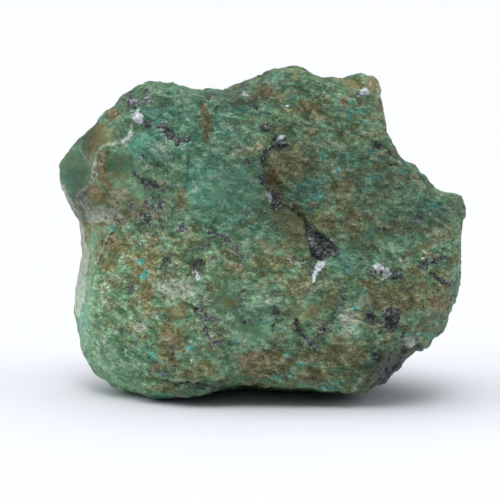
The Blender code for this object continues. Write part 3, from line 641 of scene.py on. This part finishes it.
# Broad tone, partly the stone's own paler and darker parts and partly painted light and
# shade: paler where the face is lit more, as on the left and lower left, and darker on
# facets turned from the light; negative strengths darken.
TONE_AND_PAINTED_LIGHT_BLOTS = [
    (100, 310, 40, 80, 0, 0.30), (76, 330, 12, 60, 0, 0.42), (145, 138, 46, 20, 0, 0.32),
    (104, 360, 40, 34, 0, 0.72), (170, 252, 80, 20, 8, 0.16), (76, 212, 12, 20, -20, -0.40),
    (77, 276, 11, 44, 0, -0.62), (240, 98, 26, 12, 0, -0.40), (170, 92, 60, 14, 0, -0.10),
    (432, 222, 32, 16, 10, -0.34), (392, 304, 30, 24, 0, -0.16), (228, 303, 14, 8, 0, -0.50),
    (175, 312, 14, 9, 0, -0.20), (200, 178, 14, 30, 0, 0.22), (84, 132, 14, 12, 45, -0.40),
    (390, 370, 20, 18, 40, -0.45), (104, 218, 26, 10, 0, -0.50), (165, 290, 34, 34, 0, 0.18),
    (450, 165, 24, 60, 0, 0.05), (450, 330, 16, 20, 0, -0.15), (120, 382, 50, 20, 0, 0.30),
    (395, 372, 20, 14, 30, 0.25), (300, 278, 40, 22, 0, 0.18), (246, 148, 22, 10, 0, 0.20),
    (350, 318, 14, 20, 0, 0.35), (440, 240, 20, 16, 0, 0.25), (77, 174, 13, 24, 12, -0.75),
    (92, 142, 14, 14, 40, -0.55), (284, 190, 26, 50, -22, -0.28), (266, 170, 10, 30, 0, -0.25),
    (400, 190, 60, 36, -15, -0.22), (262, 128, 50, 24, 0, 0.12), (395, 365, 34, 26, 30, -0.35),
    (392, 322, 26, 14, 0, -0.20), (150, 290, 110, 90, 0, 0.22), (220, 185, 40, 50, 0, -0.12),
    (424, 181, 8, 3, -32, -0.45), (430, 165, 30, 22, -32, 0.20), (118, 166, 14, 13, 0, -0.55),
    (112, 204, 24, 12, 0, -0.42), (150, 205, 22, 22, 0, -0.12), (255, 368, 40, 12, 0, -0.05),
    (240, 176, 18, 18, 0, -0.14), (320, 176, 36, 16, 0, -0.08), (370, 92, 14, 16, 0, -0.12),
    (192, 390, 24, 7, 0, -0.35), (366, 200, 30, 60, 0, -0.08), (300, 225, 24, 16, -30, -0.25),
    (238, 318, 20, 22, 0, -0.14), (280, 218, 18, 18, 0, -0.12), (276, 172, 16, 16, 0, 0.12),
    (210, 378, 120, 20, 0, 0.10), (315, 245, 22, 14, -15, -0.20), (262, 104, 12, 22, 0, -0.14),
    (220, 240, 30, 10, 0, -0.08),
]
EVEN_TONE, LEAST_TONE, MOST_TONE = 1.16, 0.4, 1.7
EVEN_STAIN, STAIN_LOST = 0.44, 0.5  # olive stain between its patches, and what thin parts lose
# The same minerals scattered through the sides, the back and the top: (size of the lumps
# in mm, the levels of noise at which it starts and is full, the noise's shift, the most).
SCATTER = {
    "oxide": (6.0, 0.35, 0.75, 21.0, 1.0),
    "olive": (17.0, -0.25, 0.45, 33.0, 0.9),
    "ochre": (9.0, 0.30, 0.80, 41.0, 0.9),
    "blue_green": (15.0, -0.05, 0.60, 52.0, 1.0),
    "turquoise": (4.5, 0.60, 0.95, 63.0, 1.0),
    "pale": (8.0, 0.10, 0.85, 74.0, 0.8),
    "glint": (3.0, 0.75, 1.05, 85.0, 1.0),
}
minerals = {
    "oxide": np.maximum.reduce([patches(ragged_across, ragged_down, OXIDE_BLOTS),
                                shards(bent_across, bent_down, OXIDE_SHARDS),
                                streaks(ragged_across, ragged_down, OXIDE_LINES)]),
    "olive": np.maximum.reduce([patches(ragged_across, ragged_down, OLIVE_BLOTS),
                                shards(bent_across, bent_down, OLIVE_SHARDS),
                                EVEN_STAIN - STAIN_LOST * patches(across, down, GREEN_BLOTS)]),
    "ochre": np.maximum(patches(ragged_across, ragged_down, OCHRE_BLOTS),
                        streaks(bent_across, bent_down, OCHRE_LINES)),
    "blue_green": patches(ragged_across, ragged_down, BLUE_BLOTS),
    "turquoise": patches(ragged_across, ragged_down, TURQUOISE_BLOTS),
    "pale": np.maximum.reduce([patches(ragged_across, ragged_down, PALE_BLOTS),
                               shards(bent_across, bent_down, PALE_SHARDS),
                               streaks(bent_across, bent_down, PALE_LINES)]),
    "glint": np.maximum(patches(across, down, GLINT_BLOTS), shards(across, down, GLINT_SHARDS)),
}
for name, (size, low, high, shift, most) in SCATTER.items():
    speckled = lumps(points, size, shift) + 0.5 * lumps(points, size / 2.3, shift + 4.0)
    minerals[name] = minerals[name] * facing + away * smooth(low, high, speckled) * most
toned_across, toned_down = across + TONE_BENT * warp_across, down + TONE_BENT * warp_down
tone = np.full(len(points), EVEN_TONE)
for *blot, strength in TONE_AND_PAINTED_LIGHT_BLOTS:
    share = patches(toned_across, toned_down, [(*blot, 1.0)])
    tone += strength * share * around
# Which spots stand high, from 0 to 1: small chips tell the most. The shader paints them
# paler and the low spots darker, partly wear and partly painted light and shade.
HIGH_SPREAD = 2.4  # this many standard deviations lie between 0 and 1
standing_high = 2.2 * (0.75 * fine + CRUMB_HEIGHT * crumbs + GRAIN_HEIGHT * grain) + 0.5 * coarse
standing_high = (standing_high - standing_high.mean()) / standing_high.std()
minerals["calm"] = calm
minerals["tone"] = np.clip(tone, LEAST_TONE, MOST_TONE)
minerals["height"] = np.clip(0.5 + standing_high / HIGH_SPREAD, 0.0, 1.0)
for name, amount in minerals.items():
    layer = mesh.attributes.new(name, "FLOAT", "POINT")
    layer.data.foreach_set("value", amount.astype(np.float32))


def linear(colour):
    """A hex sRGB colour, as the shader's linear red, green, blue and alpha."""
    levels = [int(colour[i:i + 2], 16) / 255 for i in (1, 3, 5)]
    curve = [v / 12.92 if v <= 0.04045 else ((v + 0.055) / 1.055) ** 2.4 for v in levels]
    return (*curve, 1.0)


def add(tree, kind, settings=None, sockets=None, output=0):
    """Adds a node with its settings, fills or links its input sockets, and gives an output."""
    made = tree.nodes.new("ShaderNode" + kind)
    for name, value in (settings or {}).items():
        setattr(made, name, value)
    for socket, value in (sockets or {}).items():
        if isinstance(value, bpy.types.NodeSocket):
            tree.links.new(value, made.inputs[socket])
        else:
            made.inputs[socket].default_value = value
    return made.outputs[output]


# Broken chrysocolla rock: a waxy green silicate with a sugary grain, which gives a soft
# broken sheen; oxide is sub-metallic and glints, clay-like crusts are dull.
MULTIPLY, MULTIPLY_ADD = {"operation": "MULTIPLY"}, {"operation": "MULTIPLY_ADD"}
EASED = {"interpolation_type": "SMOOTHSTEP"}
MIX = {"data_type": "RGBA"}
rock = bpy.data.materials.new("broken_chrysocolla_rock")
rock.use_nodes = True
tree = rock.node_tree
shader = tree.nodes["Principled BSDF"]
place = add(tree, "TexCoord", output="Object")
# Grains lie along the bedding, which rises to the right, and are drawn out along it.
bed = add(tree, "Mapping", None, {0: place, 2: (0.0, BED_RISE, 0.0), 3: (0.72, 0.9, 1.15)})


def field(size_mm, levels, rough, where, seed):
    """Noise of a size, stretched to fill 0 to 1."""
    made = add(tree, "TexNoise", {"noise_dimensions": "4D"},
               {"Vector": where, "W": seed, "Scale": 1000.0 / size_mm, "Detail": levels,
                "Roughness": rough})
    return add(tree, "MapRange", {"clamp": False}, {0: made, 1: 0.30, 2: 0.70})


mottle = field(7.0, 5.0, 0.62, bed, 1.0)
stain = field(3.4, 6.0, 0.72, bed, 2.0)
crust = field(2.8, 6.0, 0.72, bed, 3.0)
wisp = field(1.3, 4.0, 0.70, bed, 4.0)
rust = field(1.5, 4.0, 0.65, bed, 5.0)
ore = field(1.5, 4.0, 0.65, bed, 6.0)
spark = field(0.75, 2.0, 0.6, place, 7.0)
dust = field(0.55, 2.0, 0.6, place, 8.0)
ore_grain = field(1.2, 4.0, 0.75, bed, 12.0)
fibres = add(tree, "TexNoise", {"noise_type": "RIDGED_MULTIFRACTAL", "noise_dimensions": "4D",
                                "normalize": False},
             {"Vector": bed, "W": 11.0, "Scale": 1000.0 / 3.0, "Detail": 4.0,
              "Roughness": 0.7, "Lacunarity": 2.2, "Offset": 0.9, "Gain": 2.0})
# Crumbs: rounded grains of 1.3 mm and 0.6 mm with dark creases between them, bent out of
# true by a waver with lumps of 1.1 mm.
waver = add(tree, "TexNoise", None, {"Vector": place, "Scale": 900.0, "Detail": 2.0}, "Color")
bent = add(tree, "VectorMath", MULTIPLY_ADD, {0: waver, 1: (0.9 * MM, 0.9 * MM, 0.9 * MM), 2: bed})
crumb = add(tree, "TexVoronoi", None, {"Vector": bent, "Scale": 1000.0 / 1.3}, "Distance")
small_crumb = add(tree, "TexVoronoi", None, {"Vector": bent, "Scale": 1000.0 / 0.6}, "Distance")
amounts = {name: add(tree, "Attribute", {"attribute_name": name}, output="Fac")
           for name in minerals}
rough_share = add(tree, "Math", MULTIPLY_ADD, {0: amounts["calm"], 1: -0.80, 2: 1.0})

# The green silicate itself, from its dark to its pale parts.
GREENS = ((0.0, "#426a45"), (0.36, "#558459"), (0.66, "#69986c"), (1.0, "#82b185"))
colour = add(tree, "ValToRGB", None, {0: mottle})
stops = colour.node.color_ramp.elements
while len(stops) < len(GREENS):
    stops.new(0.5)
for stop, (spot, green) in zip(stops, GREENS):
    stop.position = spot
    stop.color = linear(green)


def broken(name, speckle, spread, low, high):
    """A mineral's share, its edges broken up by a speckle."""
    mixed = add(tree, "Math", MULTIPLY_ADD, {0: speckle, 1: spread, 2: amounts[name]})
    return add(tree, "MapRange", EASED, {0: mixed, 1: low + spread / 2, 2: high + spread / 2})


# What lies over it, in order: (mineral, its speckle, how far that breaks it up, the
# amounts at which it starts and is full, its colour, how much it covers).
olive_hue = add(tree, "Mix", MIX, {0: wisp, 6: linear("#565225"), 7: linear("#8f8a49")}, 2)
ochre_hue = add(tree, "Mix", MIX, {0: dust, 6: linear("#6b5430"), 7: linear("#a89060")}, 2)
LAYERS = [
    ("blue_green", crust, 0.9, 0.16, 0.85, linear("#38876f"), 0.78),
    ("olive", stain, 1.0, 0.30, 0.72, olive_hue, 0.92),
    ("pale", wisp, 0.9, 0.40, 1.15, linear("#bec3ae"), 0.85),
    ("ochre", rust, 1.1, 0.38, 0.88, ochre_hue, 0.85),
    ("turquoise", crust, 0.9, 0.40, 0.80, linear("#39aa9c"), 0.8),
]
for name, speckle, spread, low, high, hue, most in LAYERS:
    share = broken(name, speckle, spread, low, high)
    share = add(tree, "Math", MULTIPLY, {0: share, 1: most})
    colour = add(tree, "Mix", MIX, {0: share, 6: colour, 7: hue}, 2)

# Sugary grain: pale flecks; high spots made pale, partly wear and partly painted
# highlight; and painted shade as dark flecks in the creases where the fine bump is low; all
# calmer where the rock broke shell-smooth: (what it follows, where it starts, is full, most,
# colour).
FLECKS = [
    (fibres, 1.2, 2.6, 0.50, "#c2d2ba"),
    (wisp, 0.72, 1.15, 0.55, "#b7cbb0"),
    (amounts["height"], 0.5, 1.0, 0.16, "#aab5aa"),
    (dust, 0.68, 0.98, 0.50, "#b4cfb4"),
    (dust, 0.36, 0.04, 0.90, "#1c2f1e"),
]
for source, low, high, most, hue in FLECKS:
    share = add(tree, "MapRange", EASED, {0: source, 1: low, 2: high, 3: 0.0, 4: most})
    share = add(tree, "Math", MULTIPLY, {0: share, 1: rough_share})
    colour = add(tree, "Mix", MIX, {0: share, 6: colour, 7: linear(hue)}, 2)

# Oxide is nearly black with grey grains, and silvery specks that are partly painted
# glints; quartz and mica are nearly white, partly their own pale colour and partly painted
# highlight. Both shine more than the silicate does.
oxide = broken("oxide", ore, 1.0, 0.50, 0.85)
glint = broken("glint", spark, 1.0, 0.62, 0.85)
share = add(tree, "MapRange", EASED, {0: ore_grain, 1: 0.25, 2: 0.95})
oxide_hue = add(tree, "Mix", MIX, {0: share, 6: linear("#1d2325"), 7: linear("#949b98")}, 2)
share = add(tree, "MapRange", EASED, {0: spark, 1: 0.60, 2: 1.0})
oxide_hue = add(tree, "Mix", MIX, {0: share, 6: oxide_hue, 7: linear("#b9bfbc")}, 2)
colour = add(tree, "Mix", MIX, {0: oxide, 6: colour, 7: oxide_hue}, 2)
colour = add(tree, "Mix", MIX, {0: glint, 6: colour, 7: linear("#e3e7ea")}, 2)

# Painted shade in the creases between crumbs and painted light on the crumbs' tops, and
# the high spots paler and the low ones darker, partly wear and partly painted light and shade
# on the fine relief: (what it follows, the levels from and to which the shade changes, and
# the shade at each).
SHADES = [
    (crumb, 0.15, 0.75, 1.16, 0.66),
    (small_crumb, 0.15, 0.75, 1.14, 0.72),
    (amounts["height"], 0.1, 0.9, 0.72, 1.22),
]
painted_crease_shade, small_painted_crease_shade, worn = (
    add(tree, "MapRange", None, {0: source, 1: low, 2: high, 3: at_low, 4: at_high})
    for source, low, high, at_low, at_high in SHADES)
shade = add(tree, "Math", MULTIPLY, {0: painted_crease_shade, 1: small_painted_crease_shade})
shade = add(tree, "Math", MULTIPLY, {0: shade, 1: worn})
shade = add(tree, "Mix", None, {0: rough_share, 2: 1.0, 3: shade})
# Times the broad tone, which is partly painted light and shade.
shade = add(tree, "Math", MULTIPLY, {0: shade, 1: amounts["tone"]})
colour = add(tree, "Mix", {"data_type": "RGBA", "blend_type": "MULTIPLY"},
             {0: 1.0, 6: colour, 7: shade}, 2)
tree.links.new(colour, shader.inputs["Base Color"])

# Waxy where the silicate is dense and duller where it is earthy.
dull = add(tree, "MapRange", None, {0: wisp, 1: 0.0, 2: 1.0, 3: 0.40, 4: 0.66})
dull = add(tree, "Mix", None, {0: oxide, 2: dull, 3: 0.34})
dull = add(tree, "Mix", None, {0: glint, 2: dull, 3: 0.20})
tree.links.new(dull, shader.inputs["Roughness"])
metal = add(tree, "Math", MULTIPLY, {0: oxide, 1: 0.35})
tree.links.new(metal, shader.inputs["Metallic"])
shader.inputs["IOR"].default_value = 1.52

# The finest crumbs and grains, which stand about half a millimetre.
domes = add(tree, "Math", MULTIPLY, {0: crumb, 1: -1.0})
for source, rise in ((small_crumb, -0.40), (wisp, 0.8), (dust, 0.25), (fibres, 0.3)):
    domes = add(tree, "Math", MULTIPLY_ADD, {0: source, 1: rise, 2: domes})
domes = add(tree, "Math", MULTIPLY, {0: domes, 1: rough_share})
bump = add(tree, "Bump", None, {"Strength": 1.0, "Distance": 0.5 * MM, "Height": domes})
tree.links.new(bump, shader.inputs["Normal"])
mesh.materials.clear()
mesh.materials.append(rock)
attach(stone, "root")
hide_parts("chrysocolla_stone")


# ---- Floor and light ----
# A plain sweep of matt white paper, lit through a white tent: the light is even and soft
# from all round, a little stronger from the left, and the shadow lies close under the stone.
FLOOR_REACH = 8.0  # metres from its middle to its edge
floor_mesh = bpy.data.meshes.new("white_floor")
block = bmesh.new()
bmesh.ops.create_grid(block, x_segments=1, y_segments=1, size=FLOOR_REACH)
block.to_mesh(floor_mesh)
block.free()
floor = bpy.data.objects.new("white_floor", floor_mesh)
scene.collection.objects.link(floor)
# Matt white paper: pale and very slightly blue, with no shine.
paper = bpy.data.materials.new("matt_white_paper")
paper.use_nodes = True
paper_shader = paper.node_tree.nodes["Principled BSDF"]
paper_shader.inputs["Base Color"].default_value = linear("#ecedf4")
paper_shader.inputs["Roughness"].default_value = 0.9
paper_shader.inputs["Specular IOR Level"].default_value = 0.2
floor_mesh.materials.append(paper)

world = bpy.data.worlds.new("white_tent")
scene.world = world
world.use_nodes = True
sky = world.node_tree.nodes["Background"]
sky.inputs["Color"].default_value = linear("#e2eaff")
sky.inputs["Strength"].default_value = 0.12
# (name, the direction it comes from, strength, how wide it looks in degrees)
TENT_LIGHTS = [
    ("top_of_tent", (0.0, 0.06, 1.0), 0.15, 36.0),
    ("front_of_tent", (0.0, -0.36, 0.93), 1.1, 28.0),
    ("left_of_tent", (-0.74, -0.06, 0.66), 1.4, 66.0),
    ("right_of_tent", (0.74, -0.06, 0.66), 1.05, 66.0),
    ("back_of_tent", (0.0, 0.42, 0.91), 0.72, 40.0),
]
for name, comes_from, strength, width in TENT_LIGHTS:
    light = bpy.data.lights.new(name, "SUN")
    light.energy = strength
    light.angle = math.radians(width)
    lamp = bpy.data.objects.new(name, light)
    lamp.rotation_euler = Vector(comes_from).to_track_quat("Z", "Y").to_euler()
    scene.collection.objects.link(lamp)
